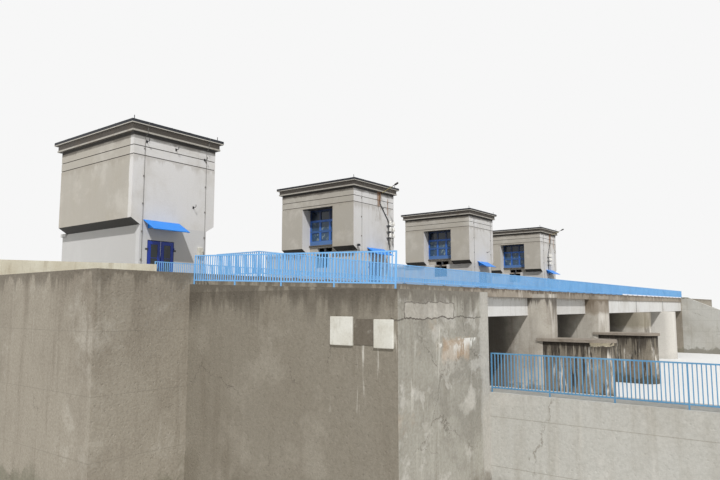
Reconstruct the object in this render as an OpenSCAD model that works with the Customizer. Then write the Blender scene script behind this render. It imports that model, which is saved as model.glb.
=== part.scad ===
/* [Levels] */
// Height of the road and of the tower floors' bearing above the basin floor
deck_top = 752; // [600:1:900]
// Thickness of the road slab, seen as its edge
slab_t = 53; // [30:1:90]
// Depth of the bridge girders under the slab
girder_h = 125; // [80:1:200]
// Height of the low divider walls downstream of the bridge piers
divider_top = 414; // [250:1:520]
// Height of the training walls beside the basin
training_top = 371; // [250:1:500]

/* [Towers] */
// Distance between tower centres
tower_pitch = 2640; // [2200:1:3200]
// Width of a tower's upper hall
tower_w = 760; // [650:1:900]
// Depth of a tower's upper hall, upstream to downstream
tower_d = 1080; // [960:1:1300]
// Thickness of the tower walls
wall_t = 40; // [25:1:60]
// How far the lower shaft stands back from the hall on each side
shaft_inset = 76; // [50:1:110]
// Height of the lower shaft from the road to the foot of the slope
shaft_h = 494; // [450:1:600]
// Height of the slope between the shaft and the hall
slope_h = 47; // [35:1:90]
// Height of the hall's plain wall up to the cornice
hall_h = 647; // [560:1:700]
// Drop of the upper wall groove below the cornice
groove_drop = 98; // [60:1:120]
// Distance between the two wall grooves
groove_pitch = 69; // [40:1:90]
// Height of a wall groove
groove_h = 6; // [3:1:12]
// Depth of a wall groove
groove_d = 4; // [2:1:8]
// Length of the gate shaft behind the first tower
annex_first = 75; // [60:1:200]
// Length of the gate shafts behind the other towers
annex_rest = 334; // [200:1:420]
// Height of the gate shafts above the road
annex_h = 500; // [420:1:540]
// Height of the gate shafts' coping
coping_h = 26; // [12:1:40]
// Overhang of the gate shafts' coping
coping_out = 12; // [6:1:25]
// Thickness of the floor plates
floor_t = 20; // [10:1:40]
// Height of the door sill and ground floor above the road
sill_h = 15; // [5:1:40]

/* [Roof] */
// Height of the pale ledge under the cornice
ledge_h = 13; // [8:1:30]
// Overhang of the pale ledge
ledge_out = 29; // [15:1:60]
// Height of the dark neck between ledge and cap
neck_h = 40; // [20:1:60]
// Overhang of the neck
neck_out = 24; // [10:1:45]
// Height of the roof cap
cap_h = 25; // [8:1:35]
// Overhang of the roof cap
cap_out = 48; // [30:1:110]
// Height of the lightning rods above the cap
rod_h = 42; // [20:1:80]
// Radius of the lightning rods
rod_r = 3; // [2:0.5:5]
// Distance of the lightning rods from the cap's edges
rod_inset = 38; // [15:1:60]
// Radius of the roof vents
vent_r = 16; // [10:1:30]
// Height of the roof vents
vent_h = 20; // [10:1:38]
// Height of a vent's cover
vent_cover_h = 6; // [3:1:8]
// Overhang of a vent's cover
vent_cover_out = 6; // [3:1:8]

/* [Hoist windows] */
// Distance of the window recess from the downstream face
recess_y = 297; // [200:1:400]
// Width of the window recess
recess_w = 456; // [360:1:520]
// Depth of the window recess
recess_depth = 135; // [90:1:160]
// Drop of the recess head below the cornice
recess_drop = 193; // [165:1:240]
// Height of the window
window_h = 410; // [340:1:420]
// Columns of panes in a window
pane_columns = 3; // [2:1:6]
// Rows of panes in a window
pane_rows = 3; // [2:1:6]
// Width of the window bars
bar_w = 18; // [8:1:30]
// Height of the window's bottom rail
window_foot_h = 44; // [20:1:80]
// Thickness of the window frame
frame_t = 8; // [5:1:14]
// Thickness of the glass
glass_t = 2; // [1:0.5:4]
// Width of the hoist opening under the window
hatch_w = 222; // [160:1:320]
// Height of the hoist opening
hatch_h = 230; // [150:1:240]
// Gap between the window and the hoist opening
hatch_gap = 36; // [15:1:60]

/* [Doors] */
// Width of the doorway
door_w = 236; // [180:1:260]
// Height of the doorway above the sill
door_h = 369; // [300:1:400]
// Distance of the first tower's doorway from the shaft's left edge
door_first = 68; // [55:1:200]
// The same for the other towers
door_rest = 205; // [55:1:300]
// Thickness of a door leaf
leaf_t = 6; // [4:0.5:10]
// Clearance round a door leaf
door_gap = 5; // [4:0.5:8]
// Width of a leaf's stiles and rails
stile_w = 22; // [12:1:30]
// Depth of the leaf's sunk panels
panel_sink = 2; // [1:0.5:3]
// Height of a leaf's lower panel
low_panel_h = 80; // [50:1:120]
// Radius of a hinge knuckle
knuckle_r = 3.5; // [3:0.5:5]
// Height of a hinge knuckle
knuckle_h = 14; // [8:1:20]
// Running gap between two knuckles
knuckle_gap = 0.3; // [0.2:0.1:0.5]
// Length of a hinge strap
strap_l = 20; // [12:1:30]
// Thickness of a hinge strap
strap_t = 1.5; // [1:0.5:2]
// Distance of the lower and upper hinge from the leaf's ends
hinge_end = 62; // [40:1:90]

/* [Canopies] */
// Width of a door canopy
canopy_w = 318; // [260:1:340]
// How far a canopy stands out
canopy_out = 140; // [100:1:240]
// Height of a canopy's wall edge above the doorway
canopy_rise = 150; // [110:1:170]
// Fall of a canopy from wall to front edge
canopy_fall = 76; // [40:1:95]
// Thickness of the canopy sheet
canopy_t = 4; // [2:1:8]
// Thickness of the brackets under a canopy
bracket_t = 5; // [3:1:10]
// Height of a bracket at the wall
bracket_drop = 60; // [30:1:90]
// Distance of the brackets' tips from the canopy's front edge
bracket_end = 30; // [10:1:60]
// Distance of the brackets from the canopy's sides
bracket_inset = 40; // [10:1:80]

/* [Piers and gates] */
// How far the tower piers reach downstream of the towers
pier_front = 450; // [300:1:700]
// Upstream straight length of the tower piers behind the hall
pier_back = 334; // [200:1:420]
// Width of a gate slot
slot_w = 70; // [50:1:100]
// Depth of a gate slot
slot_d = 30; // [20:1:50]
// Height of the gate leaves
gate_h = 560; // [400:1:640]
// Thickness of the gate skin
gate_t = 12; // [8:1:20]
// Depth of the gate girders behind the skin
gate_rib = 40; // [30:1:45]
// Number of gate girders
gate_ribs = 5; // [3:1:8]
// Number of uprights between the gate girders
gate_posts = 9; // [5:1:12]
// Distance of the gate girders' ends from the piers
gate_end = 20; // [10:1:40]
// Clearance of a gate leaf in its slots
gate_gap = 0.3; // [0.2:0.1:1]
// Thickness of the service deck slab
service_t = 40; // [25:1:70]

/* [Road bridge] */
// Distance of the bridge's downstream edge from the tower fronts
bridge_front = 2340; // [2000:1:2700]
// Width of the road bridge
bridge_w = 820; // [700:1:1100]
// Distance of each abutment's face from the middle of the bridge
bridge_half = 3170; // [2950:1:3300]
// How far the middle of the bridge lies left of the middle of the towers
bridge_shift = 450; // [300:1:500]
// Distance of the inner bridge piers from the bridge's middle
inner_pier_x = 758; // [650:1:900]
// Distance of the outer bridge piers from the bridge's middle
outer_pier_x = 2035; // [1850:1:2200]
// Thickness of a bridge pier
pier_t = 215; // [180:1:260]
// How far the centre of a pier's round nose stands out from the slab edge
pier_out = 23; // [5:1:50]
// Height of the left piers' noses beside the slab edge
nose_rise = 26; // [10:1:45]
// Width of a bridge girder
girder_w = 60; // [40:1:90]
// Setback of the girder from the slab edge in the left bays
girder_back_left = 38; // [20:1:70]
// Setback of the girder from the slab edge in the right bays
girder_back_right = 8; // [4:1:20]
// Length of the divider walls from the pier noses to their own noses
divider_l = 395; // [250:1:600]
// How much narrower than the piers the divider walls are on each side
divider_inset = 8; // [6:1:13]
// Overhang of the divider walls' caps
divider_cap = 18; // [14:1:30]
// Height of the divider walls' caps
divider_cap_h = 20; // [10:1:40]

/* [Banks] */
// How far the near wing block reaches beyond the abutment's left end
block_over = 215; // [100:1:300]
// Width of the wing block's downstream face
block_w = 510; // [350:1:700]
// Distance of the wing block's face downstream of the slab edge
block_out = 850; // [600:1:1100]
// Left and right ends of the abutments from the middle
abutment_x = 5340; // [5200:1:5450]
// Height of the wing block at its downstream face
block_h = 684; // [600:1:730]
// Rise of the wing block's top from the face to the bridge
block_rise = 30; // [0:1:60]
// Length of the approach beyond the abutment, behind the bank parapet
approach_l = 550; // [400:1:700]
// Thickness of the training walls
training_t = 150; // [100:1:200]
// Length of the training walls downstream of the slab edge
training_l = 1612; // [1300:1:1900]
// Height of the right wing wall above the road
wing_rise = 10; // [0:1:60]
// Length of the right wing wall's sloping top
wing_slope_l = 880; // [800:1:1250]
// Thickness of the bank parapet
parapet_t = 30; // [20:1:45]
// Height of the bank parapet at the bridge
parapet_h = 84; // [60:1:110]
// Fall of the bank parapet to its far end
parapet_fall = 20; // [0:1:40]
// Right end of the bank parapet from the middle
parapet_x = 5153; // [5100:1:5300]

/* [Railings] */
// Height of the bridge railings
rail_h = 99; // [80:1:120]
// Height of the low railing on the training wall
low_rail_h = 122; // [90:1:140]
// Width of the rails and posts
rail_w = 4; // [3:1:8]
// Thickness of the rails and posts
rail_t = 3; // [2:1:8]
// Distance between railing posts
post_pitch = 200; // [120:1:300]
// Clear height under the bottom rail
rail_foot = 12; // [6:1:20]
// Width of the upright bars between the posts
picket_w = 2.5; // [2:0.5:4]
// Distance between the upright bars
picket_pitch = 11; // [8:0.5:20]
// Gap between two railing panels
rail_joint = 0.8; // [0.4:0.1:0.9]
// Distance of a railing from the edge it guards
rail_set = 14; // [8:1:30]
// Left end of the bridge railing from the middle of the towers
rail_left = 5229; // [5150:1:5320]
// How far the bridge railing runs on past the right end of the bridge
rail_over = 110; // [0:1:200]
// Length of the short railing across the left end
rail_return = 250; // [150:1:400]

/* [Lamps] */
// Distance of a lamp arm from the left edge of its tower
lamp_x = 480; // [300:1:700]
// How far a lamp arm stands out
lamp_out = 255; // [150:1:280]
// Rise of a lamp arm
lamp_rise = 105; // [20:1:125]
// Drop of the lamp arm's foot below the cornice
lamp_drop = 28; // [20:1:60]
// Radius of a lamp arm
lamp_r = 4; // [3:0.5:6]
// Length of a lamp head
lamp_head_l = 44; // [30:1:60]
// Radius of a lamp head
lamp_head_r = 9.5; // [6:0.5:14]
// Height of a lamp arm's wall plate
lamp_plate_h = 86; // [50:1:110]

/* [Hidden] */
$fn = 32;
eps = 0.01;
// Each tower is four nodes of its own, and so is each bridge railing
tower_count = 4;
rail_panels = 4;

render_grey = [0.78, 0.76, 0.71];
old_concrete = [0.58, 0.56, 0.50];
pale_concrete = [0.86, 0.85, 0.80];
rail_blue = [0.47, 0.70, 0.92];
paint_blue = [0.10, 0.30, 0.75];
bright_blue = [0.20, 0.56, 0.92];
roof_dark = [0.22, 0.22, 0.24];
steel_dark = [0.25, 0.26, 0.28];

shaft_w = tower_w - 2 * shaft_inset;
slope_z = deck_top + shaft_h;
hall_z = slope_z + slope_h;
wall_top = hall_z + hall_h;
roof_top = wall_top + ledge_h + neck_h + cap_h;
sill_z = deck_top + sill_h;
recess_top = wall_top - recess_drop;
window_z = recess_top - window_h;
annex_top = deck_top + annex_h;
slab_z = deck_top - slab_t;
girder_z = slab_z - girder_h;
pier_end = tower_d + pier_back + shaft_w / 2;
bridge_back = bridge_front - bridge_w;
leaf_w = (door_w - 3 * door_gap) / 2;
leaf_h = door_h - 2 * door_gap;
hinge_x = 2;
hinge_y = -(knuckle_r + 0.5);
gate_y = recess_y + recess_w / 2;
approach_x = abutment_x + approach_l;
block_x = abutment_x + block_over;
block_slope = atan(block_rise / block_out);
bridge_left = bridge_half + bridge_shift;
bridge_right = bridge_half - bridge_shift;
rail_right = bridge_right + rail_over;
x_low = -approach_x;
x_high = abutment_x;
y_low = -bridge_front - training_l;
y_high = pier_end;
shift = [-(x_low + x_high) / 2, -(y_low + y_high) / 2, 0];

function tower_x(i) = (i - (tower_count - 1) / 2) * tower_pitch;
function door_x(i) = -shaft_w / 2 + (i == 0 ? door_first : door_rest);
function has_left_window(i) = i > 0;
function has_right_window(i) = i < tower_count - 1;

// Moves from the row's middle at the tower fronts to the middle of the whole plan
module placed() {
    translate(shift) children();
}

module at_tower(i) {
    placed() translate([tower_x(i), 0, 0]) children();
}

module at_bridge() {
    placed() translate([-bridge_shift, 0, 0]) children();
}

module box(low, high) {
    translate(low) cube(high - low);
}

// Solid standing on an outline in plan
module plan_block(points, low, high) {
    translate([0, 0, low]) linear_extrude(high - low) polygon(points);
}

// Sheet across the tower: outline in x and z, from one y to another
module upright(y_from, y_to) {
    translate([0, y_to, 0]) rotate([90, 0, 0]) linear_extrude(y_to - y_from) children();
}

module tower_outline() {
    polygon([
        [-shaft_w / 2, deck_top], [shaft_w / 2, deck_top], [shaft_w / 2, slope_z],
        [tower_w / 2, hall_z], [tower_w / 2, wall_top], [-tower_w / 2, wall_top],
        [-tower_w / 2, hall_z], [-shaft_w / 2, slope_z]
    ]);
}

// Two grooves that run round the top of the hall
module grooves() {
    for (drop = [groove_drop, groove_drop + groove_pitch])
        translate([0, 0, wall_top - drop - groove_h / 2])
            difference() {
                box([-tower_w, -tower_w, 0], [tower_w, tower_d + tower_w, groove_h]);
                box([-tower_w / 2 + groove_d, groove_d, -1],
                    [tower_w / 2 - groove_d, tower_d - groove_d, groove_h + 1]);
            }
}

module tower_front(i) {
    color(render_grey) at_tower(i) difference() {
        upright(0, wall_t) tower_outline();
        box([door_x(i), -1, sill_z], [door_x(i) + door_w, wall_t + 1, sill_z + door_h]);
        grooves();
    }
}

module tower_rear(i) {
    color(render_grey) at_tower(i) difference() {
        upright(tower_d - wall_t, tower_d) tower_outline();
        grooves();
    }
}

// One side wall, left of the tower's centre
module side_wall() {
    lean = shaft_inset / slope_h;
    skin = wall_t * (sqrt(1 + lean * lean) - 1) / lean;
    upright(wall_t, tower_d - wall_t) polygon([
        [-shaft_w / 2, deck_top], [-shaft_w / 2 + wall_t, deck_top],
        [-shaft_w / 2 + wall_t, slope_z + skin], [-tower_w / 2 + wall_t, hall_z + skin],
        [-tower_w / 2 + wall_t, wall_top], [-tower_w / 2, wall_top],
        [-tower_w / 2, hall_z], [-shaft_w / 2, slope_z]
    ]);
}

module window_side_wall() {
    back = -tower_w / 2 + recess_depth;
    difference() {
        union() {
            side_wall();
            upright(recess_y - wall_t, recess_y + recess_w + wall_t) polygon([
                [-shaft_w / 2, slope_z], [-tower_w / 2, hall_z], [-tower_w / 2, recess_top + wall_t],
                [back + wall_t, recess_top + wall_t], [back + wall_t, slope_z]
            ]);
        }
        box([-tower_w, recess_y, slope_z - tower_w], [-shaft_w / 2, recess_y + recess_w, recess_top]);
        box([-shaft_w / 2 - 1, recess_y, slope_z], [back, recess_y + recess_w, recess_top]);
        box([back - 1, recess_y, window_z], [back + wall_t + 1, recess_y + recess_w, recess_top]);
        box([-tower_w, gate_y - hatch_w / 2, window_z - hatch_gap - hatch_h],
            [back + wall_t + 1, gate_y + hatch_w / 2, window_z - hatch_gap]);
    }
}

module tower_sides(i) {
    color(render_grey) at_tower(i) difference() {
        union() {
            if (has_left_window(i)) window_side_wall();
            else side_wall();
            mirror([1, 0, 0]) {
                if (has_right_window(i)) window_side_wall();
                else side_wall();
            }
        }
        grooves();
    }
}

module tower_slab(out, low, high) {
    box([-tower_w / 2 - out, -out, low], [tower_w / 2 + out, tower_d + out, high]);
}

module tower_roof(i) {
    color(roof_dark) at_tower(i) {
        tower_slab(ledge_out, wall_top, wall_top + ledge_h);
        tower_slab(neck_out, wall_top, roof_top - cap_h);
        tower_slab(cap_out, roof_top - cap_h, roof_top);
    }
}

// Door leaf in its own frame: hinge edge at x = door_gap, outer face at y = 0
module door_leaf() {
    low = sill_z + door_gap;
    high = low + leaf_h;
    split = low + stile_w + low_panel_h;
    difference() {
        box([door_gap, 0, low], [door_gap + leaf_w, leaf_t, high]);
        for (part = [[low + stile_w, split], [split + stile_w, high - stile_w]])
            box([door_gap + stile_w, -1, part[0]], [door_gap + leaf_w - stile_w, panel_sink, part[1]]);
    }
    for (z = hinge_levels()) {
        translate([hinge_x, hinge_y, z + knuckle_gap]) cylinder(r = knuckle_r, h = knuckle_h);
        box([hinge_x, -strap_t, z + knuckle_gap], [hinge_x + strap_l, eps, z + knuckle_gap + knuckle_h]);
    }
}

function hinge_levels() = [sill_z + hinge_end, sill_z + door_h - hinge_end];

module hinge_bracket() {
    for (z = hinge_levels()) {
        translate([hinge_x, hinge_y, z - knuckle_h]) cylinder(r = knuckle_r, h = knuckle_h);
        box([hinge_x - strap_l, -strap_t, z - knuckle_h], [hinge_x, 0, z]);
    }
}

module left_leaf(i) {
    color(paint_blue) at_tower(i) translate([door_x(i), 0, 0]) door_leaf();
}

module right_leaf(i) {
    color(paint_blue) at_tower(i) translate([door_x(i) + door_w, 0, 0]) mirror([1, 0, 0]) door_leaf();
}

module door_hinges() {
    color(steel_dark) for (i = [0 : tower_count - 1]) at_tower(i) {
        translate([door_x(i), 0, 0]) hinge_bracket();
        translate([door_x(i) + door_w, 0, 0]) mirror([1, 0, 0]) hinge_bracket();
    }
}

module ground_floors() {
    color(old_concrete) for (i = [0 : tower_count - 1]) at_tower(i)
        box([-shaft_w / 2 + wall_t, wall_t, deck_top], [shaft_w / 2 - wall_t, tower_d - wall_t, sill_z]);
}

module hoist_floors() {
    color(old_concrete) for (i = [0 : tower_count - 1]) at_tower(i)
        box([-shaft_w / 2 + wall_t, wall_t, slope_z - floor_t],
            [shaft_w / 2 - wall_t, tower_d - wall_t, slope_z]);
}

// Lays a child at each window, drawn for the left side
module at_windows() {
    for (i = [0 : tower_count - 1]) at_tower(i) {
        if (has_left_window(i)) children();
        if (has_right_window(i)) mirror([1, 0, 0]) children();
    }
}

module window_frame() {
    column = (recess_w - bar_w) / pane_columns;
    row = (window_h - window_foot_h) / pane_rows;
    translate([-tower_w / 2 + recess_depth + frame_t, recess_y, window_z])
        rotate([0, -90, 0]) linear_extrude(frame_t) difference() {
            square([window_h, recess_w]);
            for (r = [0 : pane_rows - 1], c = [0 : pane_columns - 1])
                translate([window_foot_h + r * row, bar_w + c * column])
                    square([row - bar_w, column - bar_w]);
        }
}

module window_frames() {
    color(paint_blue) at_windows() window_frame();
}

module window_glass() {
    face = -tower_w / 2 + recess_depth + frame_t;
    color([0.15, 0.25, 0.35]) at_windows()
        box([face, recess_y, window_z], [face + glass_t, recess_y + recess_w, recess_top]);
}

// Sloping sheet on two triangular brackets
module canopy() {
    high = sill_z + door_h + canopy_rise;
    low = high - canopy_fall;
    reach = canopy_out - bracket_end;
    tip = high - canopy_t / 2 - canopy_fall * reach / canopy_out;
    middle = door_w / 2;
    side = canopy_w / 2 - bracket_inset;
    translate([middle - canopy_w / 2, 0, 0]) rotate([90, 0, 90]) linear_extrude(canopy_w)
        polygon([[0, high - canopy_t], [0, high], [-canopy_out, low], [-canopy_out, low - canopy_t]]);
    for (x = [middle - side, middle + side - bracket_t])
        translate([x, 0, 0]) rotate([90, 0, 90]) linear_extrude(bracket_t)
            polygon([[0, high - canopy_t / 2], [-reach, tip], [0, high - canopy_t - bracket_drop]]);
}

module canopies() {
    color(bright_blue) for (i = [0 : tower_count - 1]) at_tower(i) translate([door_x(i), 0, 0]) canopy();
}

module gate_shaft(length) {
    difference() {
        union() {
            box([-shaft_w / 2, tower_d, deck_top], [shaft_w / 2, tower_d + length, annex_top]);
            box([-shaft_w / 2 - coping_out, tower_d, annex_top - coping_h],
                [shaft_w / 2 + coping_out, tower_d + length + coping_out, annex_top]);
        }
        box([-shaft_w / 2 + wall_t, tower_d - 1, deck_top - 1],
            [shaft_w / 2 - wall_t, tower_d + length - wall_t, annex_top - wall_t]);
    }
}

module gate_shafts() {
    color(render_grey) for (i = [0 : tower_count - 1]) at_tower(i)
        gate_shaft(i == 0 ? annex_first : annex_rest);
}

module roof_fittings() {
    corner = tower_w / 2 + cap_out - rod_inset;
    color(steel_dark) for (i = [0 : tower_count - 1]) at_tower(i) {
        for (x = [-corner, corner])
            translate([x, rod_inset - cap_out, roof_top]) cylinder(r = rod_r, h = rod_h);
        translate([-tower_w / 4, tower_d / 3, roof_top]) {
            cylinder(r = vent_r - vent_cover_out, h = vent_h);
            translate([0, 0, vent_h - vent_cover_h]) cylinder(r = vent_r, h = vent_cover_h);
        }
    }
}

// Straight round bar between two points
module bar(from, to, r) {
    way = to - from;
    flat = norm([way[0], way[1]]);
    translate(from) rotate([0, atan2(flat, way[2]), atan2(way[1], way[0])]) cylinder(r = r, h = norm(way));
}

module lamp_arm() {
    x = -tower_w / 2 + lamp_x;
    foot = [x, -lamp_r, wall_top - lamp_drop];
    tip = [x, -lamp_out, wall_top - lamp_drop + lamp_rise];
    bar(foot, tip, lamp_r);
    bar(tip - (tip - foot) * (lamp_head_l / lamp_out), tip, lamp_head_r);
    box([x - 2 * lamp_r, -2 * lamp_r, foot[2] + 2 * lamp_r - lamp_plate_h],
        [x + 2 * lamp_r, 0, foot[2] + 2 * lamp_r]);
}

module lamp_arms() {
    color(steel_dark) for (i = [1 : 2 : tower_count - 1]) at_tower(i) lamp_arm();
}

// Straight pier with a half-round upstream nose and a gate slot in each open side
module gate_pier(left_slot, right_slot) {
    linear_extrude(deck_top) difference() {
        union() {
            translate([-shaft_w / 2, -pier_front]) square([shaft_w, pier_front + tower_d + pier_back]);
            translate([0, tower_d + pier_back]) circle(r = shaft_w / 2, $fn = 64);
        }
        if (left_slot) translate([-shaft_w / 2 - 1, gate_y - slot_w / 2]) square([slot_d + 1, slot_w]);
        if (right_slot) translate([shaft_w / 2 - slot_d, gate_y - slot_w / 2]) square([slot_d + 1, slot_w]);
    }
}

module gate_piers() {
    color(old_concrete) for (i = [0 : tower_count - 1]) at_tower(i)
        gate_pier(has_left_window(i), has_right_window(i));
}

module gate_leaves() {
    from = shaft_w / 2 - slot_d + gate_gap;
    to = tower_pitch - from;
    first = shaft_w / 2 + gate_end;
    last = tower_pitch - first;
    skin_y = gate_y - gate_t / 2;
    color(steel_dark) for (i = [0 : tower_count - 2]) at_tower(i) {
        box([from, skin_y, 0], [to, skin_y + gate_t, gate_h]);
        for (k = [0 : gate_ribs - 1]) {
            z = k * (gate_h - gate_t) / (gate_ribs - 1);
            box([first, skin_y - gate_rib, z], [last, skin_y + eps, z + gate_t]);
        }
        for (k = [0 : gate_posts - 1]) {
            x = first + k * (last - first - gate_t) / (gate_posts - 1);
            box([x, skin_y - gate_rib, 0], [x + gate_t, skin_y + eps, gate_h]);
        }
    }
}

module service_deck() {
    color(old_concrete) for (i = [0 : tower_count - 2]) at_tower(i) {
        box([shaft_w / 2, -pier_front, deck_top - service_t], [tower_pitch - shaft_w / 2, 0, deck_top]);
        for (y = [-pier_front, -service_t])
            box([shaft_w / 2, y, deck_top - 3 * service_t],
                [tower_pitch - shaft_w / 2, y + service_t, deck_top - service_t + eps]);
    }
}

module road_deck() {
    color(old_concrete) at_bridge()
        box([-bridge_half, -bridge_front, slab_z], [bridge_half, -bridge_back, deck_top]);
}

// Girders of one bay, each set back from the slab edges
module bay_girders(from, to, setback) {
    for (y = [-bridge_front + setback, -(bridge_front + bridge_back + girder_w) / 2,
              -bridge_back - setback - girder_w])
        box([from, y, girder_z], [to, y + girder_w, slab_z]);
}

module road_girders() {
    half = pier_t / 2;
    color(pale_concrete) at_bridge() {
        bay_girders(-bridge_half, -outer_pier_x - half, girder_back_left);
        bay_girders(-outer_pier_x + half, -inner_pier_x - half, girder_back_left);
        bay_girders(-inner_pier_x + half, bridge_half, girder_back_right);
    }
}

// Plan of a wall that ends in a half-round nose, whose centre is the origin
module nosed_plan(half_width, length) {
    translate([-half_width, 0]) square([2 * half_width, length]);
    circle(r = half_width, $fn = 64);
}

module bridge_pier(x, top) {
    translate([x, -bridge_front - pier_out, 0]) linear_extrude(top)
        nosed_plan(pier_t / 2, bridge_w + pier_out);
}

// Pier of the left bays, whose nose covers the lower part of the slab edge
module tall_pier(x) {
    bridge_pier(x, slab_z);
    translate([x, -bridge_front - pier_out, slab_z - eps]) linear_extrude(nose_rise + eps)
        difference() {
            nosed_plan(pier_t / 2, pier_out);
            translate([-pier_t, pier_out]) square(2 * pier_t);
        }
}

module bridge_piers() {
    color(old_concrete) at_bridge() {
        tall_pier(-outer_pier_x);
        tall_pier(-inner_pier_x);
        bridge_pier(inner_pier_x, girder_z);
        bridge_pier(outer_pier_x, girder_z);
    }
}

// Plan of a divider wall, which ends against the nose of its pier
module divider_plan(half_width) {
    difference() {
        nosed_plan(half_width, divider_l);
        translate([0, divider_l]) circle(r = pier_t / 2, $fn = 64);
    }
}

module divider_walls() {
    half = pier_t / 2 - divider_inset;
    nose_y = -bridge_front - pier_out - divider_l;
    color(old_concrete) at_bridge() for (x = [-outer_pier_x, -inner_pier_x]) translate([x, nose_y, 0]) {
        linear_extrude(divider_top) divider_plan(half);
        translate([0, 0, divider_top - divider_cap_h]) linear_extrude(divider_cap_h)
            divider_plan(half + divider_cap);
    }
}

// Left abutment, which meets the first pier and funnels to the bridge's end face
module abutment(face) {
    pier_side = tower_x(0) + shaft_w / 2;
    plan_block([
        [-abutment_x, -bridge_front], [-face, -bridge_front], [-face, -2 * pier_front],
        [pier_side, -pier_front], [pier_side - shaft_w, -pier_front], [pier_side - shaft_w, 0],
        [-abutment_x, 0]
    ], 0, deck_top);
}

module left_abutment() {
    color(old_concrete) placed() abutment(bridge_left);
}

module right_abutment() {
    color(old_concrete) placed() mirror([1, 0, 0]) abutment(bridge_right);
}

module left_approach() {
    color(old_concrete) placed()
        box([-approach_x, -bridge_front, 0], [-abutment_x, -bridge_back + 2 * parapet_t, deck_top]);
}

module wing_block() {
    color(old_concrete) placed() translate([-block_x, -bridge_front, 0]) rotate([90, 0, 90])
        linear_extrude(block_w) polygon([
            [0, 0], [0, block_h + block_rise], [-block_out, block_h], [-block_out, 0]
        ]);
}

module left_training_wall() {
    color(pale_concrete) placed()
        box([-block_x + block_w, -bridge_front - training_l, 0],
            [-block_x + block_w + training_t, -bridge_front, training_top]);
}

module right_wing_wall() {
    color(pale_concrete) placed() translate([bridge_right, -bridge_front, 0])
        rotate([90, 0, 90]) linear_extrude(training_t) polygon([
            [0, 0], [0, deck_top + wing_rise], [-2 * parapet_t, deck_top + wing_rise],
            [-2 * parapet_t - wing_slope_l, training_top], [-training_l, training_top], [-training_l, 0]
        ]);
}

module bank_parapet() {
    color(pale_concrete) placed() upright(-bridge_back - parapet_t, -bridge_back) polygon([
        [-approach_x, deck_top], [-parapet_x, deck_top], [-parapet_x, deck_top + parapet_h],
        [-approach_x, deck_top + parapet_h - parapet_fall]
    ]);
}

// Openings of one railing bay, from x = 0, with a bar between each two
module bay_openings(width, low, high) {
    gaps = max(1, round(width / picket_pitch));
    step = (width + picket_w) / gaps;
    for (k = [0 : gaps - 1]) translate([k * step, low]) square([step - picket_w, high - low]);
}

// Railing panel along x, from the origin, its foot at z = 0
module railing(length, height) {
    bays = max(1, round(length / post_pitch));
    pitch = (length - rail_w) / bays;
    translate([0, rail_t / 2, 0]) rotate([90, 0, 0]) linear_extrude(rail_t) difference() {
        square([length, height]);
        for (k = [0 : bays - 1]) translate([rail_w + k * pitch, 0]) {
            bay_openings(pitch - rail_w, rail_foot + rail_w, height - rail_w);
            translate([0, -1]) square([pitch - rail_w, rail_foot + 1]);
        }
    }
}

// One of the equal panels of a railing from one x to another
module railing_part(from, to, part) {
    panel = (to - from - (rail_panels - 1) * rail_joint) / rail_panels;
    translate([from + (part - 1) * (panel + rail_joint), 0, 0]) railing(panel, rail_h);
}

module downstream_railing(part) {
    color(rail_blue) placed() translate([0, -bridge_front + rail_set, deck_top])
        railing_part(-rail_left, rail_right, part);
}

module upstream_railing(part) {
    color(rail_blue) placed() translate([0, -bridge_back - rail_set, deck_top])
        railing_part(-parapet_x, rail_right, part);
}

// Railing up the wing block's edge and across the bridge's left end
module wing_railing() {
    run = block_out - rail_set - rail_t;
    color(rail_blue) placed() {
        translate([-block_x + rail_set, -bridge_front - block_out + rail_set,
                   block_h + rail_set * block_rise / block_out])
            rotate([block_slope, 0, 0]) rotate([0, 0, 90]) railing(run / cos(block_slope), rail_h);
        translate([-rail_left + rail_t, -bridge_front + rail_set + rail_t, deck_top]) rotate([0, 0, 90])
            railing(rail_return, rail_h);
    }
}

module low_railing() {
    color(rail_blue) placed()
        translate([-block_x + block_w + rail_set, -bridge_front - training_l + rail_set, training_top])
            rotate([0, 0, 90]) railing(training_l - block_out - rail_set, low_rail_h);
}

// Handrail and middle rail on posts along the downstream edge of the service deck
module service_railing() {
    length = (tower_count - 1) * tower_pitch - shaft_w;
    posts = round(length / post_pitch);
    from = tower_x(0) + shaft_w / 2;
    face = -pier_front + rail_set - rail_t / 2;
    color(rail_blue) placed() translate([from, face, deck_top]) {
        for (k = [0 : posts])
            translate([k * (length - rail_w) / posts, 0, 0]) cube([rail_w, rail_t, rail_h]);
        for (z = [rail_h / 2, rail_h - rail_w]) translate([0, 0, z]) cube([length, rail_t, rail_w]);
    }
}

tower_front(0);  // tower_1_front
tower_sides(0);  // tower_1_sides
tower_rear(0);  // tower_1_rear
tower_roof(0);  // tower_1_roof
tower_front(1);  // tower_2_front
tower_sides(1);  // tower_2_sides
tower_rear(1);  // tower_2_rear
tower_roof(1);  // tower_2_roof
tower_front(2);  // tower_3_front
tower_sides(2);  // tower_3_sides
tower_rear(2);  // tower_3_rear
tower_roof(2);  // tower_3_roof
tower_front(3);  // tower_4_front
tower_sides(3);  // tower_4_sides
tower_rear(3);  // tower_4_rear
tower_roof(3);  // tower_4_roof
left_leaf(0);  // door_1_left
right_leaf(0);  // door_1_right
left_leaf(1);  // door_2_left
right_leaf(1);  // door_2_right
left_leaf(2);  // door_3_left
right_leaf(2);  // door_3_right
left_leaf(3);  // door_4_left
right_leaf(3);  // door_4_right
door_hinges();
ground_floors();
hoist_floors();
window_frames();
window_glass();
canopies();
gate_shafts();
roof_fittings();
lamp_arms();
gate_piers();
gate_leaves();
service_deck();
road_deck();
road_girders();
bridge_piers();
divider_walls();
left_abutment();
left_approach();
wing_block();
left_training_wall();
right_abutment();
right_wing_wall();
bank_parapet();
downstream_railing(1);  // downstream_railing_1
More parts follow.
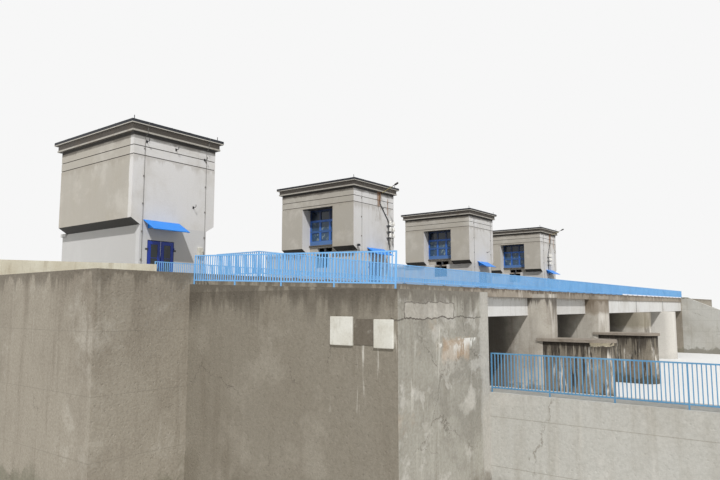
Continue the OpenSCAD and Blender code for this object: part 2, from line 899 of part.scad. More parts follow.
downstream_railing(2);  // downstream_railing_2
downstream_railing(3);  // downstream_railing_3
downstream_railing(4);  // downstream_railing_4
upstream_railing(1);  // upstream_railing_1
upstream_railing(2);  // upstream_railing_2
upstream_railing(3);  // upstream_railing_3
upstream_railing(4);  // upstream_railing_4
wing_railing();
low_railing();
service_railing();
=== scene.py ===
import math

import bmesh
import bpy
from mathutils import Euler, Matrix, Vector


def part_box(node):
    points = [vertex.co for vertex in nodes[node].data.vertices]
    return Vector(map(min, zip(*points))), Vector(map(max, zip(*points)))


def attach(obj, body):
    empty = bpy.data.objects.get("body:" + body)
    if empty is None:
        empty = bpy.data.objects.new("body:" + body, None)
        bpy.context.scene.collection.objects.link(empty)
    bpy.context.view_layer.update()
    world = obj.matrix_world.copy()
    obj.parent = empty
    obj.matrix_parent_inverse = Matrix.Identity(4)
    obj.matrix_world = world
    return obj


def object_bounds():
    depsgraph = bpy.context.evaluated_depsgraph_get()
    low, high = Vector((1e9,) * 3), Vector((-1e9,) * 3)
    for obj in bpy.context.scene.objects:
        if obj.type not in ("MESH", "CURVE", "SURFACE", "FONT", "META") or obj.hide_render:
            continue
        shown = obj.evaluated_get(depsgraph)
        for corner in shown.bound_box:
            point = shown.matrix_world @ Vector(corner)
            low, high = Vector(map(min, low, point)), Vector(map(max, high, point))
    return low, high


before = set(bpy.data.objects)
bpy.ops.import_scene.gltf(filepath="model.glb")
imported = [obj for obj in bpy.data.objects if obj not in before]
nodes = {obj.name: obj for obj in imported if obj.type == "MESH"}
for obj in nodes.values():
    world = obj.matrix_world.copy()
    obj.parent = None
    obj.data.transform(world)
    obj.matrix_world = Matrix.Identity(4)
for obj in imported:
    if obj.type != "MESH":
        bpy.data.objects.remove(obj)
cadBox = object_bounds()
print("frame loaded:", len(nodes), "nodes")

# Camera, light and floor

photoView = {"place": (-6.5807, -2.9584, 0.6395), "turn": 37.72, "tilt": 6.14, "lens": 30.78}
studio = {"sunFrom": (-0.50, -0.46, 0.73), "sunSoft": 1.6, "sunStrength": 3.0, "sky": 0.40,
          "backdrop": 0.93, "floorSize": 160.0, "floorColour": (231, 231, 229)}


def newObject(name, data):
    thing = bpy.data.objects.new(name, data)
    bpy.context.scene.collection.objects.link(thing)
    return thing


def placeCamera(view):
    data = bpy.data.cameras.new("photoCamera")
    data.lens = view["lens"]
    data.sensor_width = 36.0
    data.clip_end = 500.0
    camera = newObject("photoCamera", data)
    camera.location = view["place"]
    camera.rotation_euler = Euler((math.radians(90 + view["tilt"]), 0, math.radians(view["turn"] - 90)))
    bpy.context.scene.camera = camera


def softLight(look):
    sun = bpy.data.lights.new("sun", "SUN")
    sun.energy = look["sunStrength"]
    sun.angle = math.radians(look["sunSoft"])
    lamp = newObject("sun", sun)
    lamp.rotation_euler = Vector(look["sunFrom"]).to_track_quat("Z", "Y").to_euler()
    world = bpy.data.worlds.new("paleSky")
    world.use_nodes = True
    tree = world.node_tree
    light, seen = tree.nodes["Background"], tree.nodes.new("ShaderNodeBackground")
    for background, strength in ((light, look["sky"]), (seen, look["backdrop"])):
        background.inputs["Color"].default_value = (1, 1, 1, 1)
        background.inputs["Strength"].default_value = strength
    rays = tree.nodes.new("ShaderNodeLightPath")  # the pale backdrop shows in glass and metal too
    shown = rays.outputs["Is Camera Ray"]
    for label in ("Is Glossy Ray", "Is Transmission Ray"):
        either = tree.nodes.new("ShaderNodeMath")
        either.operation = "MAXIMUM"
        tree.links.new(shown, either.inputs[0])
        tree.links.new(rays.outputs[label], either.inputs[1])
        shown = either.outputs[0]
    pick = tree.nodes.new("ShaderNodeMixShader")
    tree.links.new(shown, pick.inputs["Fac"])
    tree.links.new(light.outputs[0], pick.inputs[1])
    tree.links.new(seen.outputs[0], pick.inputs[2])
    tree.links.new(pick.outputs[0], tree.nodes["World Output"].inputs["Surface"])
    bpy.context.scene.world = world


placeCamera(photoView)
softLight(studio)
bpy.context.scene.view_settings.view_transform = "Standard"

# Node helpers


def linear(channel):
    value = channel / 255
    return value / 12.92 if value <= 0.04045 else ((value + 0.055) / 1.055) ** 2.4


def paint(colour):
    return tuple(linear(channel) for channel in colour) + (1.0,)


def put(tree, kind, **values):
    node = tree.nodes.new("ShaderNode" + kind)
    for name, value in values.items():
        setattr(node, name, value)
    return node


def feed(tree, socket, value):
    if isinstance(value, bpy.types.NodeSocket):
        tree.links.new(value, socket)
    else:
        socket.default_value = value


def sums(tree, how, first, second=0.5):
    node = put(tree, "Math", operation=how)
    feed(tree, node.inputs[0], first)
    feed(tree, node.inputs[1], second)
    return node.outputs[0]


def times(tree, first, second):
    return sums(tree, "MULTIPLY", first, second)


def minus(tree, first, second):
    return sums(tree, "SUBTRACT", first, second)


def vectorSums(tree, how, first, second=(0, 0, 0)):
    node = put(tree, "VectorMath", operation=how)
    feed(tree, node.inputs[0], first)
    feed(tree, node.inputs[1], second)
    return node.outputs["Value"] if how == "DOT_PRODUCT" else node.outputs[0]


def ramp(tree, value, low, high, toLow=0.0, toHigh=1.0):
    node = put(tree, "MapRange", interpolation_type="SMOOTHSTEP")
    sockets = ("Value", "From Min", "From Max", "To Min", "To Max")
    for socket, given in zip(sockets, (value, low, high, toLow, toHigh)):
        feed(tree, node.inputs[socket], given)
    return node.outputs["Result"]


def blend(tree, amount, below, above, how="MIX"):
    node = put(tree, "Mix", data_type="RGBA", blend_type=how)
    feed(tree, node.inputs[0], amount)
    feed(tree, node.inputs[6], below)
    feed(tree, node.inputs[7], above)
    return node.outputs[2]


def noise(tree, place, scale, detail, rough, out="Fac"):
    node = put(tree, "TexNoise")
    feed(tree, node.inputs["Vector"], place)
    feed(tree, node.inputs["Scale"], scale)
    node.inputs["Detail"].default_value = detail
    node.inputs["Roughness"].default_value = rough
    return node.outputs[out]


def newGroup(name, maker, takes, gives=("Mask",)):
    group = bpy.data.node_groups.new(name, "ShaderNodeTree")
    for label, value in takes.items():
        kind = "NodeSocketVector" if isinstance(value, tuple) else "NodeSocketFloat"
        group.interface.new_socket(name=label, in_out="INPUT", socket_type=kind).default_value = value
    for label in gives:
        group.interface.new_socket(name=label, in_out="OUTPUT", socket_type="NodeSocketFloat")
    taken = group.nodes.new("NodeGroupInput").outputs
    given = group.nodes.new("NodeGroupOutput").inputs
    made = maker(group, taken, put(group, "TexCoord").outputs["Object"])
    for label, socket in zip(gives, made if isinstance(made, tuple) else (made,)):
        feed(group, given[label], socket)


def separated(tree, vector):
    node = put(tree, "SeparateXYZ")
    feed(tree, node.inputs[0], vector)
    return node


def stretched(tree, place, scale, stretch):
    upright = sums(tree, "DIVIDE", scale, stretch)
    node = put(tree, "CombineXYZ")
    feed(tree, node.inputs[0], scale)
    feed(tree, node.inputs[1], scale)
    feed(tree, node.inputs[2], upright)
    return vectorSums(tree, "MULTIPLY", place, node.outputs[0])


# Shared effects, each a node group; its function builds the nodes and returns what the group puts out


def makeRainStreaks(group, taken, place):
    rows = stretched(group, place, taken["Scale"], taken["Stretch"])
    return ramp(group, noise(group, rows, 1.0, 5.0, 0.62), taken["Low"], taken["High"])


def makeBlotches(group, taken, place):
    wander = noise(group, place, 3.0, 2.0, 0.5, "Color")
    moved = vectorSums(group, "ADD", place, vectorSums(group, "MULTIPLY", wander, (0.12, 0.12, 0.12)))
    cloud = noise(group, moved, taken["Scale"], 6.0, 0.65)
    return ramp(group, cloud, taken["Low"], taken["High"])


def makeFineGrain(group, taken, place):
    grain = noise(group, place, taken["Scale"], 6.0, 0.7)
    cells = put(group, "TexVoronoi", feature="F1")
    feed(group, cells.inputs["Vector"], place)
    feed(group, cells.inputs["Scale"], times(group, taken["Scale"], 0.5))
    pits = ramp(group, cells.outputs["Distance"], 0.05, 0.28)
    deep = times(group, minus(group, 1.0, pits), taken["Pits"])
    return ramp(group, grain, 0.35, 0.7), minus(group, grain, deep)


def makeDripsBelow(group, taken, place):
    rows = stretched(group, place, taken["Scale"], 30.0)
    wander = ramp(group, noise(group, rows, 1.0, 4.0, 0.6), 0.35, 0.72)
    reach = times(group, taken["Depth"], sums(group, "ADD", wander, 0.12))
    below = minus(group, taken["Top"], separated(group, place).outputs[2])
    fade = ramp(group, sums(group, "DIVIDE", below, reach), 0.25, 1.0, 1.0, 0.0)
    under = sums(group, "GREATER_THAN", below, -0.0005)
    return times(group, fade, under)


def makeRisingDamp(group, taken, place):
    wander = ramp(group, noise(group, place, taken["Scale"], 5.0, 0.65), 0.3, 0.7, 0.3, 1.2)
    above = minus(group, separated(group, place).outputs[2], taken["Foot"])
    share = sums(group, "DIVIDE", above, times(group, wander, taken["Height"]))
    return ramp(group, share, 0.5, 1.0, 1.0, 0.0)


def makeHairCracks(group, taken, place):
    wander = noise(group, place, 14.0, 5.0, 0.7, "Color")
    moved = vectorSums(group, "ADD", place, vectorSums(group, "MULTIPLY", wander, (0.09, 0.09, 0.09)))
    cells = put(group, "TexVoronoi", feature="DISTANCE_TO_EDGE")
    feed(group, cells.inputs["Vector"], moved)
    feed(group, cells.inputs["Scale"], taken["Scale"])
    line = ramp(group, cells.outputs["Distance"], 0.0, taken["Width"], 1.0, 0.0)
    spread = minus(group, 1.0, taken["Share"])
    where = ramp(group, noise(group, place, 5.0, 3.0, 0.6), spread, sums(group, "ADD", spread, 0.1))
    return times(group, line, where)


def makeHeightBand(group, taken, place):
    height = separated(group, place).outputs[2]
    lower = ramp(group, height, minus(group, taken["Low"], taken["Soft"]), taken["Low"])
    upper = ramp(group, height, taken["High"], sums(group, "ADD", taken["High"], taken["Soft"]), 1.0, 0.0)
    return times(group, lower, upper)


def makeFacing(group, taken, place):
    face = put(group, "TexCoord").outputs["Normal"]
    return ramp(group, vectorSums(group, "DOT_PRODUCT", face, taken["Way"]), 0.3, 0.6)


def makePatch(group, taken, place):
    wander = vectorSums(group, "SUBTRACT", noise(group, place, 18.0, 5.0, 0.65, "Color"), (0.5, 0.5, 0.5))
    scaled = put(group, "VectorMath", operation="SCALE")
    feed(group, scaled.inputs[0], wander)
    feed(group, scaled.inputs["Scale"], taken["Ragged"])
    moved = vectorSums(group, "ADD", place, scaled.outputs[0])
    away = vectorSums(group, "ABSOLUTE", vectorSums(group, "SUBTRACT", moved, taken["Middle"]))
    over = separated(group, vectorSums(group, "SUBTRACT", away, taken["Half"]))
    most = sums(group, "MAXIMUM", sums(group, "MAXIMUM", over.outputs[0], over.outputs[1]), over.outputs[2])
    rim = ramp(group, sums(group, "ABSOLUTE", most), 0.0, taken["Soft"], 1.0, 0.0)
    return ramp(group, most, 0.0, taken["Soft"], 1.0, 0.0), rim


def makeFormLines(group, taken, place):
    height = separated(group, place).outputs[2]
    share = sums(group, "FRACT", sums(group, "DIVIDE", height, taken["Step"]))
    nearest = sums(group, "MINIMUM", share, minus(group, 1.0, share))
    away = times(group, nearest, taken["Step"])
    return ramp(group, away, 0.0, taken["Width"], 1.0, 0.0)


# what each effect takes, and what it puts out where that isn't its mask alone
effects = {
    "rainStreaks": (makeRainStreaks, {"Scale": 20.0, "Stretch": 14.0, "Low": 0.45, "High": 0.7}),
    "blotches": (makeBlotches, {"Scale": 4.0, "Low": 0.4, "High": 0.65}),
    "fineGrain": (makeFineGrain, {"Scale": 160.0, "Pits": 0.4}, ("Mask", "Height")),
    "dripsBelow": (makeDripsBelow, {"Top": 1.0, "Depth": 0.1, "Scale": 40.0}),
    "risingDamp": (makeRisingDamp, {"Foot": 0.0, "Height": 0.1, "Scale": 9.0}),
    "hairCracks": (makeHairCracks, {"Scale": 4.0, "Width": 0.012, "Share": 0.5}),
    "heightBand": (makeHeightBand, {"Low": 0.0, "High": 1.0, "Soft": 0.002}),
    "facing": (makeFacing, {"Way": (0.0, 0.0, 1.0)}),
    "patch": (makePatch, {"Middle": (0.0, 0.0, 0.0), "Half": (0.1, 0.1, 0.1),
                          "Ragged": 0.01, "Soft": 0.004}, ("Mask", "Rim")),
    "formLines": (makeFormLines, {"Step": 0.1, "Width": 0.0015}),
}
for effectName, (maker, takes, *more) in effects.items():
    newGroup(effectName, maker, takes, *more)
print("shared effects made:", len(bpy.data.node_groups))


def effect(tree, name, values, out="Mask"):
    node = put(tree, "Group", node_tree=bpy.data.node_groups[name])
    for label, value in values.items():
        node.inputs[label].default_value = value
    return node.outputs[out]


def newMaterial(name):
    material = bpy.data.materials.new(name)
    material.use_nodes = True
    return material, material.node_tree, material.node_tree.nodes["Principled BSDF"]


# A finish is a base colour with layers over it: each is a colour, an amount and the masks that it lies in.
# A mask is the name of an effect with its values, as the next functions give it. Colours are 0 to 255 as on a
# screen, and heights and places are in metres.


def blotches(scale, low, high):
    return "blotches", {"Scale": scale, "Low": low, "High": high}


def streaks(scale, stretch, low, high):
    return "rainStreaks", {"Scale": scale, "Stretch": stretch, "Low": low, "High": high}


def drips(top, depth, scale):
    return "dripsBelow", {"Top": top, "Depth": depth, "Scale": scale}


def damp(foot, height, scale):
    return "risingDamp", {"Foot": foot, "Height": height, "Scale": scale}


def cracks(scale, width, share):
    return "hairCracks", {"Scale": scale, "Width": width, "Share": share}


def band(low, high, soft):
    return "heightBand", {"Low": low, "High": high, "Soft": soft}


def facing(*way):
    return "facing", {"Way": way}


def formLines(step, width):
    return "formLines", {"Step": step, "Width": width}


def patch(middle, half, ragged, soft, out="Mask"):
    return "patch", {"Middle": middle, "Half": half, "Ragged": ragged, "Soft": soft}, out


def outside(mask):  # everywhere but in that mask
    return ("not " + mask[0],) + mask[1:]


def masked(tree, amount, masks):
    for name, *values in masks:
        found = effect(tree, name.removeprefix("not "), *values)
        if name.startswith("not "):
            found = minus(tree, 1.0, found)
        amount = times(tree, found, amount)
    return amount


def surface(base, layers, **more):
    smooth = {"rough": 0.5, "grain": 260.0, "pits": 0.1, "bump": 0.1, "depth": 0.0005}
    return smooth | more | {"base": base, "layers": layers}


def layered(tree, base, layers):
    colour = paint(base)
    for tint, amount, *masks in layers:
        colour = blend(tree, masked(tree, amount, masks), colour, paint(tint))
    return colour


grainLook = {"speck": 0.9, "speckShare": 0.25, "roughSwing": 0.06}  # how the grain shows in colour and gloss


def layeredFinish(name, look):
    material, tree, shader = newMaterial(name)
    colour = layered(tree, look["base"], look["layers"])
    values = {"Scale": look["grain"], "Pits": look["pits"]}
    grain = effect(tree, "fineGrain", values)
    height = effect(tree, "fineGrain", values, "Height")
    speck = tuple(channel * grainLook["speck"] for channel in paint(look["base"])[:3]) + (1.0,)
    share = times(tree, grain, look.get("speckShare", grainLook["speckShare"]))
    feed(tree, shader.inputs["Base Color"], blend(tree, share, colour, speck, "MULTIPLY"))
    smoothest, roughest = look["rough"] - grainLook["roughSwing"], look["rough"] + grainLook["roughSwing"]
    feed(tree, shader.inputs["Roughness"], ramp(tree, grain, 0.0, 1.0, smoothest, roughest))
    shader.inputs["Metallic"].default_value = look.get("metallic", 0.0)
    bump = put(tree, "Bump")
    bump.inputs["Strength"].default_value = look["bump"]
    bump.inputs["Distance"].default_value = look["depth"]
    feed(tree, bump.inputs["Height"], height)
    feed(tree, shader.inputs["Normal"], bump.outputs[0])
    return material


# Places that the finishes and the pieces share

frontLow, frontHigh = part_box("tower_1_front")
deckZ, wallTop = frontLow.z, frontHigh.z
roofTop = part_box("tower_1_roof")[1].z
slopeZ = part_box("hoist_floors")[1].z
blockLow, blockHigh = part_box("wing_block")
slabLow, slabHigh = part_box("road_deck")
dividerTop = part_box("divider_walls")[1].z
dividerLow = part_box("divider_walls")[0]
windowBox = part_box("window_frames")
bridgeShift = (slabLow.x + slabHigh.x) / 2
bridgeMiddleY = (slabLow.y + slabHigh.y) / 2
pierPlaces = (-2.035, -0.758, 0.758, 2.035)  # from the bridge's middle
pierXs = [bridgeShift + place for place in pierPlaces]
towers = [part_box("tower_%d_front" % (k + 1)) for k in range(4)]
roofs = [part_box("tower_%d_roof" % (k + 1)) for k in range(4)]
towerXs = [low.x for low, high in towers]
frontY = frontLow.y
lampTowers, lampAcross = (1, 3), 0.480  # the towers with a lamp, counted from 0, and its place on them
glazing = {"barWidth": 0.018, "footHeight": 0.044, "bead": 0.004, "setBack": 0.135, "sillOut": 0.022,
           "postHalf": 0.013}
paneStep = (windowBox[1].z - windowBox[0].z - glazing["footHeight"]) / 3
transomZ = windowBox[1].z - paneStep

# Towers

looks = {}
onFront, onNearSide = facing(0, -1, 0), facing(-1, 0, 0)
# the faces that look down; wherever this mask is used they get painted shade
onTop, shadedUnderside = facing(0, 0, 1), facing(0, 0, -1)
# the towers' sides are darker than their fronts, but not at the first tower's corner
cornerStrip = patch((frontLow.x, frontY, 1.5), (0.3, 0.045, 5.0), 0.02, 0.004)
looks["towerRender"] = surface((222, 220, 218), [
    ((177, 171, 160), 0.95, onNearSide, outside(cornerStrip)),
    ((177, 171, 160), 0.95, facing(1, 0, 0), outside(cornerStrip)),
    ((176, 168, 152), 0.35, blotches(2.4, 0.44, 0.7)),
    ((224, 220, 212), 0.30, blotches(3.6, 0.5, 0.72)),
    ((166, 157, 142), 0.22, streaks(15.0, 10.0, 0.5, 0.8)),
    # painted shadow: a near-black band on the wall right under the cornice ledge
    ((40, 37, 36), 0.92, band(wallTop - 0.02, wallTop, 0.006)),
    ((110, 101, 92), 0.5, drips(wallTop - 0.02, 0.05, 9.0)),
    ((150, 140, 126), 0.30, drips(wallTop - 0.17, 0.09, 14.0)),
    ((204, 204, 204), 0.7, band(deckZ, slopeZ, 0.01)),
    ((166, 158, 148), 0.35, damp(deckZ, 0.11, 9.0)),
    # painted shade on the undersides of the hall's overhang
    ((40, 39, 39), 0.95, shadedUnderside),
    # painted shade in the two grooves below the cornice
    ((64, 58, 52), 0.9, band(wallTop - 0.1008, wallTop - 0.0952, 0.0006)),
    ((64, 58, 52), 0.9, band(wallTop - 0.1698, wallTop - 0.1642, 0.0006)),
    ((150, 140, 128), 0.4, cracks(2.2, 0.005, 0.4)),
], rough=0.9, grain=190.0, pits=0.25, bump=0.3, depth=0.0012)
for k in lampTowers:  # rust below the lamps
    lampX, wireX = towerXs[k] + lampAcross, towerXs[k] + 0.64
    looks["towerRender"]["layers"] += [
        ((152, 108, 76), 0.75,
         patch((lampX - 0.01, frontY, wallTop - 0.075), (0.026, 0.02, 0.075), 0.07, 0.02)),
        ((176, 128, 92), 0.7, patch((wireX, frontY, wallTop - 0.16), (0.003, 0.02, 0.09), 0.04, 0.012)),
        ((140, 128, 112), 0.6, streaks(60.0, 8.0, 0.42, 0.6),
         patch((lampX - 0.02, frontY, wallTop - 0.18), (0.03, 0.02, 0.14), 0.08, 0.04)),
    ]

looks["cornice"] = surface((40, 42, 48), [
    ((184, 179, 169), 0.95, band(wallTop - 0.01, wallTop + 0.0128, 0.0006)),
    ((118, 111, 104), 0.95, band(wallTop + 0.0134, roofTop - 0.0256, 0.0006)),
    ((204, 199, 188), 0.9, band(roofTop - 0.0249, roofTop - 0.0185, 0.0008)),
    # painted shade on the cornice's undersides
    ((60, 56, 54), 0.85, shadedUnderside),
    ((126, 112, 98), 0.5, streaks(16.0, 5.0, 0.5, 0.74), band(wallTop - 0.01, roofTop - 0.015, 0.001)),
    ((120, 116, 112), 0.45, blotches(5.0, 0.5, 0.7), onTop),
    ((86, 92, 70), 0.35, blotches(9.0, 0.58, 0.74), onTop),
], rough=0.72, grain=150.0, pits=0.3, bump=0.3, depth=0.0015)

# Concrete


def concrete(base, dark, pale, layers, rough=0.92, bump=0.55):
    wear = [
        (dark, 0.55, blotches(2.0, 0.42, 0.68)),
        (pale, 0.45, blotches(5.5, 0.55, 0.74)),
        (dark, 0.55, streaks(22.0, 12.0, 0.5, 0.76)),
        (pale, 0.45, streaks(31.0, 14.0, 0.58, 0.8)),
    ]
    return surface(base, wear + layers, rough=rough, grain=120.0, pits=0.5, bump=bump, depth=0.003)


looks["pierConcrete"] = concrete((184, 178, 167), (128, 117, 104), (216, 211, 202), [
    ((226, 222, 214), 0.7, streaks(9.0, 14.0, 0.5, 0.6), onFront),
    ((92, 82, 70), 0.75, streaks(13.0, 12.0, 0.56, 0.68), onFront),
    ((72, 66, 58), 0.8, drips(slabLow.z, 0.12, 30.0)),
    ((86, 82, 70), 0.7, damp(0.0, 0.14, 8.0)),
    ((98, 88, 76), 0.5, cracks(3.4, 0.01, 0.5)),
    ((122, 108, 90), 0.7, patch((pierXs[1], slabLow.y, 0.66), (0.2, 0.3, 0.06), 0.1, 0.05)),
    ((138, 130, 112), 0.8, patch((pierXs[2], slabLow.y, 0.56), (0.2, 0.4, 0.12), 0.08, 0.06)),
    ((218, 214, 206), 0.8, patch((pierXs[3], slabLow.y, 0.25), (0.2, 0.3, 0.33), 0.08, 0.05)),
    # painted shade under the bridge, over the piers' parts inside the bays
    ((66, 62, 56), 0.8, patch((bridgeShift, bridgeMiddleY + 0.1, 0.4), (3.3, 0.24, 0.5), 0.1, 0.2)),
])

capZ = dividerTop - 0.019
looks["dividerConcrete"] = concrete((132, 124, 110), (82, 73, 62), (206, 200, 188), [
    ((196, 160, 126), 0.35, blotches(7.0, 0.6, 0.72)),
    ((222, 216, 206), 0.8, streaks(30.0, 10.0, 0.57, 0.64)),
    ((40, 35, 30), 0.85, streaks(38.0, 9.0, 0.54, 0.62)),
    ((58, 51, 43), 0.92, drips(capZ, 0.24, 46.0)),
    ((44, 38, 32), 0.8, drips(capZ, 0.05, 70.0)),
    ((232, 220, 194), 0.9, blotches(13.0, 0.40, 0.47),
     patch((pierXs[0], dividerLow.y + 0.06, dividerTop - 0.03), (0.25, 0.08, 0.008), 0.04, 0.008)),
    ((148, 138, 126), 0.95, band(capZ, dividerTop + 0.01, 0.001)),
    ((112, 100, 86), 0.6, blotches(11.0, 0.5, 0.66), band(capZ, dividerTop + 0.01, 0.001)),
    ((74, 72, 60), 0.8, damp(0.0, 0.12, 8.0)),
])

# a mended strip with a dark edge, high on the block's front
mendedPlace, mendedHalf = (blockLow.x + 0.16, blockLow.y, 0.628), (0.13, 0.02, 0.021)
looks["blockConcrete"] = concrete((172, 168, 157), (134, 127, 114), (204, 200, 188), [
    ((134, 129, 119), 0.5, onFront, blotches(4.3, 0.46, 0.6)),
    ((212, 208, 200), 0.5, onFront, blotches(8.0, 0.54, 0.62)),
    ((129, 121, 107), 0.85, onNearSide),
    ((158, 151, 138), 0.4, onNearSide, blotches(5.5, 0.52, 0.66)),
    ((118, 109, 95), 0.55, onNearSide, streaks(12.0, 9.0, 0.48, 0.72)),
    ((92, 84, 73), 0.6, drips(blockHigh.z - 0.028, 0.12, 26.0)),
    ((86, 79, 69), 0.7, drips(blockHigh.z + 0.002, 0.15, 18.0), onNearSide),
    ((96, 88, 78), 0.75, cracks(3.1, 0.007, 0.56)),
    ((184, 160, 134), 0.4, blotches(6.0, 0.58, 0.72), onFront),
    ((196, 192, 184), 0.75, onFront,
     patch((blockHigh.x, blockLow.y, 0.3), (0.045, 0.02, 0.45), 0.03, 0.02)),
    ((196, 190, 180), 0.5, patch(mendedPlace, mendedHalf, 0.03, 0.004)),
    ((82, 74, 66), 0.8, patch(mendedPlace, mendedHalf, 0.03, 0.003, "Rim")),
    ((84, 77, 69), 0.75, patch((blockLow.x + 0.22, blockLow.y, 0.607), (0.24, 0.02, 0.0008), 0.035, 0.002)),
    ((196, 166, 136), 0.55, patch((blockLow.x + 0.30, blockLow.y, 0.515), (0.07, 0.02, 0.02), 0.06, 0.02)),
    ((238, 236, 230), 0.85, drips(0.545, 0.07, 60.0), blotches(17.0, 0.44, 0.5),
     patch((blockLow.x + 0.31, blockLow.y, 0.5), (0.10, 0.02, 0.06), 0.05, 0.02)),
    ((230, 226, 216), 0.55, streaks(30.0, 14.0, 0.58, 0.66),
     patch((blockLow.x, blockLow.y + 0.06, 0.47), (0.25, 0.14, 0.09), 0.05, 0.03)),
    ((206, 201, 191), 0.5, onFront, blotches(9.0, 0.5, 0.62), band(0.3, 0.57, 0.03)),
    ((120, 112, 98), 0.7, damp(0.0, 0.2, 6.0)),
], bump=0.6)

looks["bankConcrete"] = concrete((158, 150, 136), (120, 110, 96), (196, 190, 178), [
    ((96, 88, 76), 0.6, drips(deckZ, 0.09, 30.0)),
    ((96, 96, 76), 0.5, damp(0.0, 0.16, 6.0)),
    ((104, 96, 84), 0.6, cracks(2.6, 0.008, 0.45)),
    ((128, 122, 110), 0.5, formLines(0.188, 0.002)),
    ((150, 147, 140), 0.8, onTop),
])

looks["gatePierConcrete"] = concrete((150, 144, 132), (104, 98, 86), (190, 185, 174), [
    # darker towards the bottom: wet concrete, made strong as painted shade in the bays under the bridge
    ((56, 55, 50), 0.9, damp(0.0, 0.6, 5.0)),
    ((74, 84, 62), 0.4, damp(0.0, 0.28, 12.0)),
    ((98, 90, 78), 0.6, drips(deckZ, 0.12, 26.0)),
    ((120, 114, 102), 0.5, formLines(0.094, 0.0016)),
])

looks["deckConcrete"] = concrete((160, 150, 136), (98, 86, 74), (206, 196, 182), [
    ((84, 72, 60), 0.75, drips(deckZ, 0.05, 60.0)),
    ((214, 206, 194), 0.5, streaks(16.0, 3.0, 0.58, 0.68)),
    # painted shade on the deck's underside
    ((58, 54, 50), 0.9, shadedUnderside),
    ((98, 98, 98), 0.9, onTop),
    ((122, 118, 112), 0.5, onTop, blotches(8.0, 0.46, 0.7)),
])

looks["girderPaint"] = concrete((220, 219, 216), (190, 186, 178), (232, 231, 228), [
    ((170, 158, 142), 0.6, drips(slabLow.z, 0.035, 60.0)),
    ((150, 138, 124), 0.3, streaks(40.0, 9.0, 0.6, 0.74)),
    # painted shade on the girders' undersides and on their faces turned away, under the bridge
    ((70, 66, 62), 0.85, shadedUnderside),
    ((80, 76, 72), 0.85, facing(0, 1, 0),
     patch((bridgeShift, bridgeMiddleY, 0.6), (3.3, 0.3, 0.3), 0.01, 0.02)),
], rough=0.86, bump=0.3)

looks["wingWallConcrete"] = concrete((188, 186, 179), (160, 154, 142), (214, 210, 202), [
    ((96, 92, 66), 0.85, drips(deckZ + 0.010, 0.05, 40.0)),
    ((120, 112, 98), 0.6, cracks(1.7, 0.005, 0.5)),
    ((140, 134, 122), 0.6, formLines(0.149, 0.002)),
    ((110, 106, 92), 0.7, damp(0.0, 0.13, 7.0)),
], bump=0.4)

looks["creamRender"] = surface((232, 227, 209), [
    ((198, 186, 160), 0.5, blotches(6.0, 0.44, 0.7)),
    ((176, 162, 136), 0.45, streaks(38.0, 6.0, 0.52, 0.72)),
    ((236, 230, 214), 0.5, streaks(22.0, 5.0, 0.56, 0.74)),
    ((120, 112, 96), 0.6, cracks(7.0, 0.012, 0.4)),
], rough=0.92, grain=150.0, pits=0.35, bump=0.4, depth=0.0015)

# Paint, steel, roofs and plaster


def paintedLook(base, dark, pale, rough, more=()):
    layers = [
        (dark, 0.35, blotches(6.0, 0.45, 0.7)),
        (pale, 0.35, streaks(60.0, 6.0, 0.5, 0.74)),
        ((112, 76, 52), 0.65, blotches(34.0, 0.68, 0.74)),
    ]
    return surface(base, layers + list(more), rough=rough, grain=240.0, bump=0.12, depth=0.0006,
                   speckShare=0.1)


